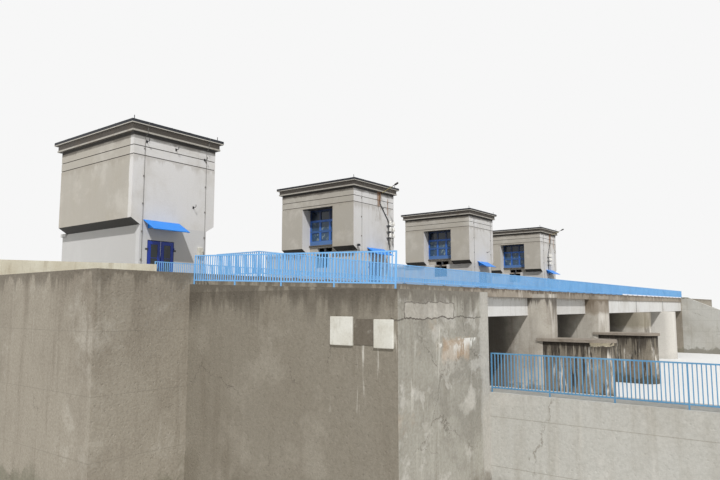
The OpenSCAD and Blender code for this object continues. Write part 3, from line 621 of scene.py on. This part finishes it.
looks.update({
    "doorPaint": paintedLook((26, 58, 158), (16, 38, 104), (64, 100, 176), 0.45),
    "windowPaint": paintedLook((48, 104, 190), (28, 66, 136), (104, 150, 212), 0.45, [
        # painted shadow of the recess head over the frames' top row
        ((26, 44, 76), 0.9, band(transomZ + 0.004, windowBox[1].z, 0.002)),
        ((50, 82, 116), 0.75, band(transomZ - paneStep - 0.016, transomZ - paneStep + 0.002, 0.002)),
        ((92, 124, 156), 0.6, band(windowBox[0].z, windowBox[0].z + glazing["footHeight"], 0.002)),
    ]),
    "canopyPaint": paintedLook((18, 134, 230), (20, 112, 204), (62, 152, 234), 0.45),
    "railingPaint": paintedLook((124, 184, 236), (84, 140, 196), (172, 212, 240), 0.5),
    "lowRailingPaint": paintedLook((92, 146, 184), (60, 104, 140), (136, 176, 200), 0.55),
    "wireGrey": surface((132, 129, 124), [((92, 84, 76), 0.6, blotches(30.0, 0.5, 0.7))], rough=0.6),
    "fittingSteel": surface((74, 76, 78), [
        ((112, 74, 48), 0.6, blotches(40.0, 0.55, 0.68)),
        ((104, 106, 108), 0.5, streaks(80.0, 8.0, 0.5, 0.7)),
    ], rough=0.55, bump=0.15, depth=0.0006, metallic=0.4),
    "gateSteel": surface((52, 60, 60), [
        ((124, 76, 46), 0.75, blotches(7.0, 0.52, 0.64)),
        ((96, 66, 46), 0.6, streaks(34.0, 12.0, 0.54, 0.7)),
        ((58, 62, 48), 0.8, damp(0.0, 0.3, 7.0)),
        ((140, 134, 118), 0.5, drips(0.4, 0.05, 30.0)),
    ], rough=0.6, grain=170.0, pits=0.2, bump=0.3, depth=0.001),
    "lampArm": surface((176, 164, 112), [
        ((34, 33, 34), 0.95, band(wallTop + 0.049, wallTop + 0.2, 0.002)),
        ((120, 76, 52), 0.8, band(wallTop - 0.2, wallTop - 0.021, 0.003)),
        ((96, 62, 44), 0.6, blotches(50.0, 0.5, 0.62)),
    ], grain=240.0, bump=0.12, depth=0.0006),
    "porcelain": surface((238, 236, 230), [((150, 140, 124), 0.5, blotches(60.0, 0.5, 0.68))],
                         rough=0.25, pits=0.05, bump=0.05),
    "roofFelt": surface((62, 61, 62), [
        ((96, 94, 90), 0.5, blotches(4.0, 0.45, 0.7)),
        ((74, 80, 60), 0.4, blotches(12.0, 0.6, 0.74)),
    ], rough=0.9, grain=300.0, pits=0.3, bump=0.5, depth=0.001),
    "plasterPatch": surface((216, 214, 205), [
        ((186, 180, 164), 0.5, blotches(9.0, 0.44, 0.68)),
        ((160, 154, 138), 0.35, streaks(50.0, 4.0, 0.52, 0.72)),
    ], rough=0.9, grain=170.0, pits=0.35, bump=0.4, depth=0.0012),
    "darkPatch": surface((108, 100, 88), [
        ((100, 92, 80), 0.6, streaks(30.0, 8.0, 0.46, 0.7)),
        ((170, 164, 152), 0.5, blotches(20.0, 0.6, 0.72)),
    ], rough=0.92, grain=140.0, pits=0.5, bump=0.5, depth=0.002),
    "blackSteel": surface((32, 32, 34), [((74, 72, 70), 0.5, blotches(30.0, 0.5, 0.7))]),
})
finishes = {name: layeredFinish(name, look) for name, look in looks.items()}

# Glass with dust and dried rain on it, and a painted reflection on the windows' lower panes

glassDust = blotches(9.0, 0.45, 0.75)
glassFilm = [((70, 92, 104), 0.35, glassDust), ((120, 140, 150), 0.12, streaks(40.0, 8.0, 0.5, 0.8))]


def darkGlass(name, tint, rough, layers=()):
    material, tree, shader = newMaterial(name)
    feed(tree, shader.inputs["Base Color"], layered(tree, tint, glassFilm + list(layers)))
    dust = effect(tree, *glassDust)
    feed(tree, shader.inputs["Roughness"], ramp(tree, dust, 0.0, 1.0, rough, rough + 0.16))
    shader.inputs["IOR"].default_value = 1.5
    return material


# painted reflection: the lower panes lighter, with pale patches
lowGlassReflection = band(windowBox[0].z, transomZ - 0.012, 0.004)
finishes["windowGlass"] = darkGlass("windowGlass", (24, 36, 54), 0.06, [
    ((54, 90, 122), 0.6, lowGlassReflection),
    ((150, 166, 160), 0.6, lowGlassReflection, blotches(22.0, 0.56, 0.62)),
])
finishes["doorGlass"] = darkGlass("doorGlass", (18, 28, 30), 0.1)

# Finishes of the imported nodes

finishNodes = {
    "towerRender": "gate_shafts", "fittingSteel": "door_hinges roof_fittings", "windowPaint": "window_frames",
    "windowGlass": "window_glass", "canopyPaint": "canopies", "lampArm": "lamp_arms",
    "gateSteel": "gate_leaves", "gatePierConcrete": "gate_piers service_deck",
    "deckConcrete": "ground_floors hoist_floors road_deck", "girderPaint": "road_girders",
    "pierConcrete": "bridge_piers", "dividerConcrete": "divider_walls", "blockConcrete": "wing_block",
    "bankConcrete": "left_abutment left_approach right_abutment", "creamRender": "bank_parapet",
    "wingWallConcrete": "left_training_wall right_wing_wall",
}
nodeFinish = {node: finish for finish, group in finishNodes.items() for node in group.split()}
for name, node in nodes.items():
    if name.endswith("_roof"):
        chosen = "cornice"
    elif name.startswith("tower_"):
        chosen = "towerRender"
    elif name.startswith("door_") and name != "door_hinges":
        chosen = "doorPaint"
    elif name == "low_railing":
        chosen = "lowRailingPaint"
    elif "railing" in name:
        chosen = "railingPaint"
    else:
        chosen = nodeFinish[name]
    for holder in node.material_slots:
        holder.material = finishes[chosen]
print("finishes made:", len(finishes))

# Shapes

pieceCount = 0


def newPiece(name, shape, finish, body="weir"):
    global pieceCount
    bmesh.ops.recalc_face_normals(shape, faces=shape.faces)
    mesh = bpy.data.meshes.new(name)
    shape.to_mesh(mesh)
    shape.free()
    mesh.materials.append(finishes[finish])
    piece = newObject(name, mesh)
    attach(piece, body)
    pieceCount += 1


# Each edge once, in an order that is the same in every run, which a set's order isn't.
def edgesAt(corners):
    return list(dict.fromkeys(edge for corner in corners for edge in corner.link_edges))


def addBlock(shape, low, high, soften):
    low, high = Vector(low), Vector(high)
    corners = bmesh.ops.create_cube(shape, size=1.0)["verts"]
    bmesh.ops.scale(shape, vec=high - low, verts=corners)
    bmesh.ops.translate(shape, vec=(low + high) / 2, verts=corners)
    bmesh.ops.bevel(shape, geom=edgesAt(corners), offset=soften, affect="EDGES", segments=2, profile=0.5,
                    material=-1)


# A plate on the tower fronts, by its middle and half sizes; it stands out from back to out.
def addPlate(shape, x, z, halfWide, halfTall, out, soften, back=0.0):
    addBlock(shape, (x - halfWide, frontY - out, z - halfTall),
             (x + halfWide, frontY - back, z + halfTall), soften)


# The four strips inside a rectangle's edge, each as its two corners.
def frameStrips(x0, z0, x1, z1, wide):
    return (((x0, z0), (x0 + wide, z1)), ((x1 - wide, z0), (x1, z1)),
            ((x0 + wide, z0), (x1 - wide, z0 + wide)), ((x0 + wide, z1 - wide), (x1 - wide, z1)))


def turnedTo(way, place):
    turn = way.to_track_quat("Z", "Y").to_matrix().to_4x4()
    turn.translation = place
    return turn


def addRod(shape, foot, head, radius, sides=10, tip=None):
    foot, head = Vector(foot), Vector(head)
    way = head - foot
    bmesh.ops.create_cone(shape, cap_ends=True, segments=sides, radius1=radius,
                          radius2=radius if tip is None else tip, depth=way.length,
                          matrix=turnedTo(way, (foot + head) / 2))


def addPipe(shape, points, radius, sides=8):
    points = [Vector(point) for point in points]
    last = len(points) - 1
    rings = []
    for k, point in enumerate(points):
        before = (point - points[k - 1]).normalized() if k else None
        after = (points[k + 1] - point).normalized() if k < last else None
        way = (before or after) + (after or before)
        made = bmesh.ops.create_circle(shape, cap_ends=k in (0, last), segments=sides, radius=radius,
                                       matrix=turnedTo(way, point))["verts"]
        rings.append(edgesAt(made))
    for k in range(last):
        bmesh.ops.bridge_loops(shape, edges=rings[k] + rings[k + 1])


# Lightning conductors down the tower fronts

conductor = {"places": ((0.092, 0.665), (0.14, 0.635), (0.14, 0.67), (0.14, 0.67)), "radius": 0.0015,
             "clear": 0.007, "clip": (0.006, 0.007, 0.012), "clipStep": 0.21, "firstClip": 0.12,
             "lowestClip": 0.1}


def makeConductors(look):
    shape = bmesh.new()
    roofLow, roofHigh = roofs[0]  # all four lie in one row at one height
    wallY = frontY - look["clear"]
    edgeY = roofLow.y - look["radius"] + 0.001
    path = (
        (roofLow.y + 0.2, roofHigh.z + 0.003), (roofLow.y + 0.03, roofHigh.z + 0.003),  # over the roof
        (edgeY, roofHigh.z + 0.001), (edgeY, roofHigh.z - 0.027),  # round its edge
        (wallY - 0.031, roofHigh.z - 0.036), (wallY - 0.029, wallTop - 0.004),  # in under the cornice
        (wallY, wallTop - 0.03), (wallY, deckZ + 0.006),  # down the wall
    )
    wide, deep, tall = look["clip"]
    for (low, high), places in zip(towers, look["places"]):
        for place in places:
            x = low.x + place
            addPipe(shape, [(x, y, z) for y, z in path], look["radius"], 6)
            z = wallTop - look["firstClip"]
            while z > deckZ + look["lowestClip"]:
                addBlock(shape, (x - wide, frontY - deep, z), (x + wide, frontY, z + tall), 0.0012)
                z -= look["clipStep"]
    newPiece("conductorWires", shape, "wireGrey")


makeConductors(conductor)

# Felt, sheet edging with its joints, and collars round the rods and vents on the roofs

roofing = {"edge": 0.012, "rise": 0.0045, "felt": 0.002, "seams": 5, "seamWidth": 0.006, "joints": 5,
           "jointHalf": 0.004, "rodIn": 0.038, "rodCollar": (0.009, 0.004), "ventAcross": 0.19,
           "ventBack": 0.36, "ventCollar": (0.022, 0.012)}


def makeRoofing(look):
    felt = bmesh.new()
    edging = bmesh.new()
    edge, half, rodIn = look["edge"], look["jointHalf"], look["rodIn"]
    for low, high in roofs:
        top = high.z
        lip = top + look["rise"]
        addBlock(felt, (low.x + edge, low.y + edge, top),
                 (high.x - edge, high.y - edge, top + look["felt"]), 0.0008)
        for k in range(1, look["seams"]):
            y = low.y + (high.y - low.y) * k / look["seams"]
            addBlock(felt, (low.x + edge, y, top + 0.0012),
                     (high.x - edge, y + look["seamWidth"], top + 0.0036), 0.0008)
        for (y0, x0), (y1, x1) in frameStrips(low.y, low.x, high.y, high.x, edge):
            addBlock(edging, (x0, y0, top), (x1, y1, lip), 0.0012)
        for k in range(1, look["joints"]):
            x = low.x + (high.x - low.x) * k / look["joints"]
            for y0, y1 in ((low.y, low.y + edge), (high.y - edge, high.y)):
                addBlock(edging, (x - half, y0, top + 0.003), (x + half, y1, lip + 0.0012), 0.0006)
            y = low.y + (high.y - low.y) * k / look["joints"]
            for x0, x1 in ((low.x, low.x + edge), (high.x - edge, high.x)):
                addBlock(edging, (x0, y - half, top + 0.003), (x1, y + half, lip + 0.0012), 0.0006)
        radius, tip = look["rodCollar"]
        for x in (low.x + rodIn, high.x - rodIn):
            addRod(edging, (x, low.y + rodIn, top + 0.001), (x, low.y + rodIn, top + 0.009), radius, 12, tip)
        radius, tip = look["ventCollar"]
        x, y = (low.x + high.x) / 2 - look["ventAcross"], frontY + look["ventBack"]
        addRod(felt, (x, y, top + 0.001), (x, y, top + 0.008), radius, 20, tip)
    newPiece("roofFelt", felt, "roofFelt")
    newPiece("roofEdging", edging, "blackSteel")


makeRoofing(roofing)

# Hooks and meter boxes on the tower fronts: per tower, how far across and how far above the road

hooks = {"places": {0: ((0.55, 0.68), (0.37, 1.12), (0.108, 1.13), (0.65, 1.09)), 2: ((0.55, 0.68),)},
         "reach": 0.03, "lift": 0.02, "radius": 0.0024, "plate": 0.007, "screws": (0.005, 0.009, 0.0022)}
meterBoxes = {"deep": 0.022, "lidIn": 0.003, "lockIn": 0.009, "lock": 0.003, "pipe": 0.004,
              "places": {0: (0.60, 0.29, 0.045, 0.07), 1: (0.57, 0.30, 0.04, 0.06),
                         3: (0.60, 0.30, 0.05, 0.06)}}


def makeHooks(look):
    shape = bmesh.new()
    plate, tipY = look["plate"], frontY - look["reach"]
    aside, rise, screw = look["screws"]
    for k, places in look["places"].items():
        for across, up in places:
            x, z = towerXs[k] + across, deckZ + up
            addPlate(shape, x, z, plate, plate * 1.3, 0.004, 0.0015)
            addPipe(shape, [(x, frontY - 0.002, z), (x, tipY, z), (x, tipY - 0.006, z + 0.005),
                            (x, tipY - 0.006, z + look["lift"])], look["radius"])
            for way in (1, -1):
                screwX, screwZ = x - way * aside, z + way * rise
                addRod(shape, (screwX, frontY - 0.0055, screwZ), (screwX, frontY - 0.003, screwZ), screw, 6)
    newPiece("wallHooks", shape, "blackSteel")


def makeMeterBoxes(look):
    shape = bmesh.new()
    lidIn = look["lidIn"]
    lidY = frontY - look["deep"]
    for k, (across, up, wide, tall) in look["places"].items():
        x, z = towerXs[k] + across, deckZ + up
        addBlock(shape, (x, lidY, z), (x + wide, frontY, z + tall), 0.003)
        addBlock(shape, (x + lidIn, lidY - 0.0025, z + lidIn),
                 (x + wide - lidIn, lidY + 0.0005, z + tall - lidIn), 0.0012)
        lockX, lockZ = x + wide - look["lockIn"], z + tall / 2
        addRod(shape, (lockX, lidY - 0.006, lockZ), (lockX, lidY - 0.002, lockZ), look["lock"])
        pipeX, pipeY = x + wide / 2, frontY - 0.010
        addPipe(shape, [(pipeX, pipeY, z + 0.002), (pipeX, pipeY, deckZ + 0.004)], look["pipe"])
    newPiece("wallBoxes", shape, "plasterPatch")


makeHooks(hooks)
makeMeterBoxes(meterBoxes)

# Insulators on brackets: per tower, how far across and how far above the road their arms are

insulators = {1: (0.650, (0.67, 0.74, 0.81)), 3: (0.350, (0.62, 0.69, 0.76))}
bell = {"out": 0.052, "spread": 0.034, "barHalf": 0.008, "barEnd": 0.03, "pin": 0.003, "stem": 0.008,
        "rings": ((0.008, 0.019), (0.022, 0.018), (0.036, 0.014)), "ringTall": 0.011, "ringTaper": 0.6}


def barEnds(levels):
    return deckZ + levels[0] - bell["barEnd"], deckZ + levels[-1] + bell["barEnd"]


def makeInsulators(look):
    steel = bmesh.new()
    white = bmesh.new()
    spread, half = look["spread"], look["barHalf"]
    y = frontY - look["out"]
    for k, (across, levels) in insulators.items():
        x = towerXs[k] + across
        low, high = barEnds(levels)
        addBlock(steel, (x - half, frontY - 0.006, low), (x + half, frontY, high), 0.0015)
        for level in levels:
            z = deckZ + level
            addPlate(steel, x, z, spread + 0.006, 0.005, 0.012, 0.001, 0.004)
            for pinX in (x - spread, x + spread):
                addPipe(steel, [(pinX, frontY - 0.008, z), (pinX, y + 0.006, z), (pinX, y, z + 0.005),
                                (pinX, y, z + 0.012)], look["pin"])
                for lift, radius in look["rings"]:
                    addRod(white, (pinX, y, z + lift), (pinX, y, z + lift + look["ringTall"]), radius, 16,
                           radius * look["ringTaper"])
                addRod(white, (pinX, y, z + 0.006), (pinX, y, z + 0.052), look["stem"], 12)
    newPiece("insulatorBrackets", steel, "fittingSteel")
    newPiece("insulatorBells", white, "porcelain")


makeInsulators(bell)

# The lamp's cable: slanting down from the lamp to the insulators, and a tail below them

lampCable = {"radius": 0.0055, "clear": 0.0062, "start": 0.106, "end": 0.03, "tail": (0.03, 0.12),
             "saddles": (0.35, 0.65, 0.9)}


def makeLampCables(look):
    shape = bmesh.new()
    y = frontY - look["clear"]
    end = Vector((0, 0, look["end"]))
    aside, drop = look["tail"]
    for k in lampTowers:
        across, levels = insulators[k]
        side = towerXs[k] + across
        low, high = barEnds(levels)
        head = Vector((towerXs[k] + lampAcross, y, wallTop - look["start"]))
        foot = Vector((side, y, high + 0.02))
        addPipe(shape, [head, head - end, foot, foot - end], look["radius"], 10)
        tail = Vector((side + aside, y, low - drop))
        addPipe(shape, [(side, y, low + 0.01), (side, y, low - 0.02), tail, tail - end], look["radius"], 10)
        for share in look["saddles"]:
            place = head.lerp(foot, share)
            addPlate(shape, place.x, place.z, 0.010, 0.0035, 0.013, 0.0015)
    newPiece("lampConduits", shape, "fittingSteel")


makeLampCables(lampCable)

# Lenses, bands and collars on the lamp arms, and a small floodlight on the second tower

lampHead = {"foot": (0.004, -0.028), "tip": (0.255, 0.077), "lensBack": 0.022, "lensDown": 0.0065,
            "lensHalf": 0.016, "lens": 0.0062, "bands": (0.0088, 0.0352), "band": 0.0112, "collar": 0.0062}
floodlight = {"across": 0.06, "up": 0.545}


def makeLampParts(look, flood):
    lens = bmesh.new()
    hood = bmesh.new()
    for k in lampTowers:
        x = towerXs[k] + lampAcross
        foot, tip = (Vector((x, frontY - out, wallTop + up)) for out, up in (look["foot"], look["tip"]))
        way = (tip - foot).normalized()
        down = Vector((0, -way.z, way.y)).normalized()
        middle = tip - way * look["lensBack"] + down * look["lensDown"]
        addRod(lens, middle - way * look["lensHalf"], middle + way * look["lensHalf"], look["lens"], 12)
        for back in look["bands"]:
            place = tip - way * back
            addRod(hood, place - way * 0.002, place + way * 0.002, look["band"], 20)
        addRod(hood, foot + way * 0.02, foot + way * 0.034, look["collar"], 12)
    x, z = towerXs[1] + flood["across"], deckZ + flood["up"]
    addPlate(hood, x, z, 0.003, 0.003, 0.016, 0.001)
    addPlate(hood, x, z, 0.016, 0.012, 0.036, 0.003, 0.014)
    addPlate(lens, x, z, 0.013, 0.009, 0.038, 0.001, 0.0355)
    newPiece("lampLenses", lens, "windowGlass")
    newPiece("lampHoods", hood, "blackSteel")


makeLampParts(lampHead, floodlight)
print("tower fittings made:", pieceCount)

# Glazed panels, rims and handles, which ride on the doors

doorLook = {"leafWide": 0.1105, "stile": 0.022, "lowPanel": 0.080, "sink": 0.002, "rim": 0.004,
            "handleUp": 0.42, "handleIn": 0.010, "lever": 0.022}


def makeDoorParts(look):
    stile, rim, sink = look["stile"], look["rim"], look["sink"]
    for k in range(4):
        for side in ("left", "right"):
            name = "door_%d_%s" % (k + 1, side)
            low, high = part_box(name)
            if side == "left":
                x0, x1 = high.x - look["leafWide"] + stile, high.x - stile
                edge = high.x - look["handleIn"]
                leverEnd = edge - look["lever"]
            else:
                x0, x1 = low.x + stile, low.x + look["leafWide"] - stile
                edge = low.x + look["handleIn"]
                leverEnd = edge + look["lever"]
            split = low.z + stile + look["lowPanel"]
            glassLow, glassHigh = split + stile, high.z - stile
            glass = bmesh.new()
            addBlock(glass, (x0, frontY + 0.0004, glassLow), (x1, frontY + sink + 0.0002, glassHigh), 0.0003)
            trim = bmesh.new()
            for bottom, top in ((low.z + stile, split), (glassLow, glassHigh)):
                for (left, lower), (right, upper) in frameStrips(x0, bottom, x1, top, rim):
                    addBlock(trim, (left, frontY - 0.0012, lower), (right, frontY + sink, upper), 0.0006)
            middle = (glassLow + glassHigh) / 2
            addBlock(trim, (x0 + rim, frontY - 0.0008, middle - 0.002),
                     (x1 - rim, frontY + 0.001, middle + 0.002), 0.0005)
            z = low.z + look["handleUp"] * (high.z - low.z)
            steel = bmesh.new()
            addPlate(steel, edge, z, 0.0045, 0.017, 0.0016, 0.0006)
            addPipe(steel, [(edge, frontY - 0.001, z + 0.006), (edge, frontY - 0.009, z + 0.006),
                            (leverEnd, frontY - 0.0095, z + 0.006)], 0.0018)
            addRod(steel, (edge, frontY - 0.0028, z - 0.009), (edge, frontY - 0.001, z - 0.009), 0.0016)
            newPiece(name + "_glazing", glass, "doorGlass", name)
            newPiece(name + "_rims", trim, "doorPaint", name)
            newPiece(name + "_handle", steel, "fittingSteel", name)


makeDoorParts(doorLook)
print("door parts made:", pieceCount)

# Putty beads, sills and posts at the hoist windows; the row's two outer sides have no window


def makeWindowParts(look):
    beads = bmesh.new()
    posts = bmesh.new()
    sills = bmesh.new()
    low, high = windowBox
    bar, half = look["barWidth"], look["postHalf"]
    columnStep = (high.y - low.y - bar) / 3
    middleY = (low.y + high.y) / 2
    # the posts' outer and inner faces from the hall's side, their feet and their heads
    postPlaces = ((0.139, 0.171, slopeZ, low.z - 0.036), (0.080, 0.112, low.z - 0.266, slopeZ))
    for k in range(4):
        for way in (-1, 1):
            if (k, way) in ((0, -1), (3, 1)):
                continue
            hallX = towerXs[k] if way < 0 else towers[k][1].x
            faceX = hallX - way * look["setBack"]
            x0, x1 = sorted((faceX - way * 0.0075, faceX - way * 0.001))
            for row in range(3):
                for column in range(3):
                    z0 = low.z + look["footHeight"] + row * paneStep
                    y0 = low.y + bar + column * columnStep
                    strips = frameStrips(y0, z0, y0 + columnStep - bar, z0 + paneStep - bar, look["bead"])
                    for (near, lower), (far, upper) in strips:
                        addBlock(beads, (x0, near, lower), (x1, far, upper), 0.0008)
            x0, x1 = sorted((faceX, faceX + way * look["sillOut"]))
            addBlock(sills, (x0, low.y, low.z - 0.012), (x1, high.y, low.z - 0.002), 0.002)
            for outer, inner, bottom, top in postPlaces:
                x0, x1 = sorted((hallX - way * outer, hallX - way * inner))
                addBlock(posts, (x0, middleY - half, bottom), (x1, middleY + half, top), 0.002)
    newPiece("windowBeads", beads, "windowPaint")
    newPiece("windowSills", sills, "darkPatch")
    newPiece("hatchPosts", posts, "fittingSteel")


makeWindowParts(glazing)

# Rolled edges round the canopies

canopyLook = {"half": 0.159, "fall": 0.076, "out": 0.140, "rim": 0.0032}


def makeCanopyRims(look):
    shape = bmesh.new()
    rim = look["rim"]
    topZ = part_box("canopies")[1].z
    frontZ, outY = topZ - look["fall"] - rim, frontY - look["out"] + rim
    for k in range(4):
        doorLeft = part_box("door_%d_left" % (k + 1))[0].x
        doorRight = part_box("door_%d_right" % (k + 1))[1].x
        middle = (doorLeft + doorRight) / 2
        x0, x1 = middle - look["half"] + rim, middle + look["half"] - rim
        addPipe(shape, [(x0, frontY - rim, topZ - rim), (x0, outY, frontZ), (x1, outY, frontZ),
                        (x1, frontY - rim, topZ - rim)], rim)
    newPiece("canopyRims", shape, "canopyPaint")


makeCanopyRims(canopyLook)

# Foot plates with bolts under the railing posts

footing = {"postPitch": 0.2, "postHalf": 0.002, "plate": (0.011, 0.008, 0.0025), "boltAside": 0.007,
           "bolt": 0.0016}


def makeFootPlates(look):
    shape = bmesh.new()
    wide, deep, thick = look["plate"]
    top, inset = deckZ + thick, look["postHalf"]
    for side in ("downstream", "upstream"):
        for panel in range(1, 5):
            low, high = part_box("%s_railing_%d" % (side, panel))
            bays = max(1, round((high.x - low.x) / look["postPitch"]))
            y = (low.y + high.y) / 2
            for k in range(bays + 1):
                x = low.x + inset + k * (high.x - low.x - 2 * inset) / bays
                x = min(max(x, low.x + wide), high.x - wide)
                addBlock(shape, (x - wide, y - deep, deckZ), (x + wide, y + deep, top), 0.0007)
                for boltX in (x - look["boltAside"], x + look["boltAside"]):
                    addRod(shape, (boltX, y, top - 0.0004), (boltX, y, top + 0.0016), look["bolt"], 6)
    newPiece("railingFeet", shape, "fittingSteel")


makeFootPlates(footing)

# Expansion joints of the road bridge over its piers

jointLook = {"half": 0.004, "girderOut": 0.0015, "slabOut": 0.0012, "slabFoot": 0.028, "roadHalf": 0.006,
             "roadIn": 0.03, "roadTall": 0.002}


def makeExpansionJoints(look):
    joints = bmesh.new()
    girderLow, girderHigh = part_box("road_girders")

    def addStrips(x, low, high, bottom, top, out):
        for y0, y1 in ((low.y - out, low.y), (high.y, high.y + out)):
            addBlock(joints, (x - look["half"], y0, bottom), (x + look["half"], y1, top), 0.0005)

    for x in pierXs[2:]:
        addStrips(x, girderLow, girderHigh, girderLow.z, slabLow.z, look["girderOut"])
    for x in pierXs:
        addStrips(x, slabLow, slabHigh, slabLow.z + look["slabFoot"], slabHigh.z, look["slabOut"])
        addBlock(joints, (x - look["roadHalf"], slabLow.y + look["roadIn"], slabHigh.z),
                 (x + look["roadHalf"], slabHigh.y - look["roadIn"], slabHigh.z + look["roadTall"]), 0.0006)
    newPiece("expansionJoints", joints, "blackSteel")


makeExpansionJoints(jointLook)

# Two plaster plates and a dark square on the wing block's near side: back, near, top, bottom

wallPlates = {"pale": ((0.221, 0.143, 0.612, 0.535), (0.073, 0.011, 0.606, 0.532)), "paleThick": 0.006,
              "dark": ((0.140, 0.076, 0.606, 0.538),), "darkThick": 0.002}


def makeWallPlates(look):
    for name, kind, soften, finish, slot in (("plasterPlates", "pale", 0.002, "plasterPatch", "cream_render"),
                                             ("plasterRecess", "dark", 0.0008, "darkPatch", "old_concrete")):
        shape = bmesh.new()
        for back, near, top, bottom in look[kind]:
            addBlock(shape, (blockLow.x - look[kind + "Thick"], blockLow.y + near, bottom),
                     (blockLow.x + 0.001, blockLow.y + back, top), soften)
        newPiece(name, shape, finish)


makeWallPlates(wallPlates)
print("pieces made:", pieceCount)

# Floor


def makeFloor(look):
    mesh = bpy.data.meshes.new("floor")
    shape = bmesh.new()
    bmesh.ops.create_grid(shape, x_segments=1, y_segments=1, size=look["floorSize"] / 2)
    bmesh.ops.translate(shape, vec=(0, 0, cadBox[0][2] - 0.001), verts=shape.verts)
    shape.to_mesh(mesh)
    shape.free()
    material, tree, shader = newMaterial("paleFloor")
    amount = times(tree, effect(tree, *blotches(0.6, 0.3, 0.8)), 0.04)
    colour = blend(tree, amount, paint(look["floorColour"]), (0.7, 0.7, 0.7, 1))
    feed(tree, shader.inputs["Base Color"], colour)
    shader.inputs["Roughness"].default_value = 0.95
    mesh.materials.append(material)
    floor = newObject("floor", mesh)


makeFloor(studio)
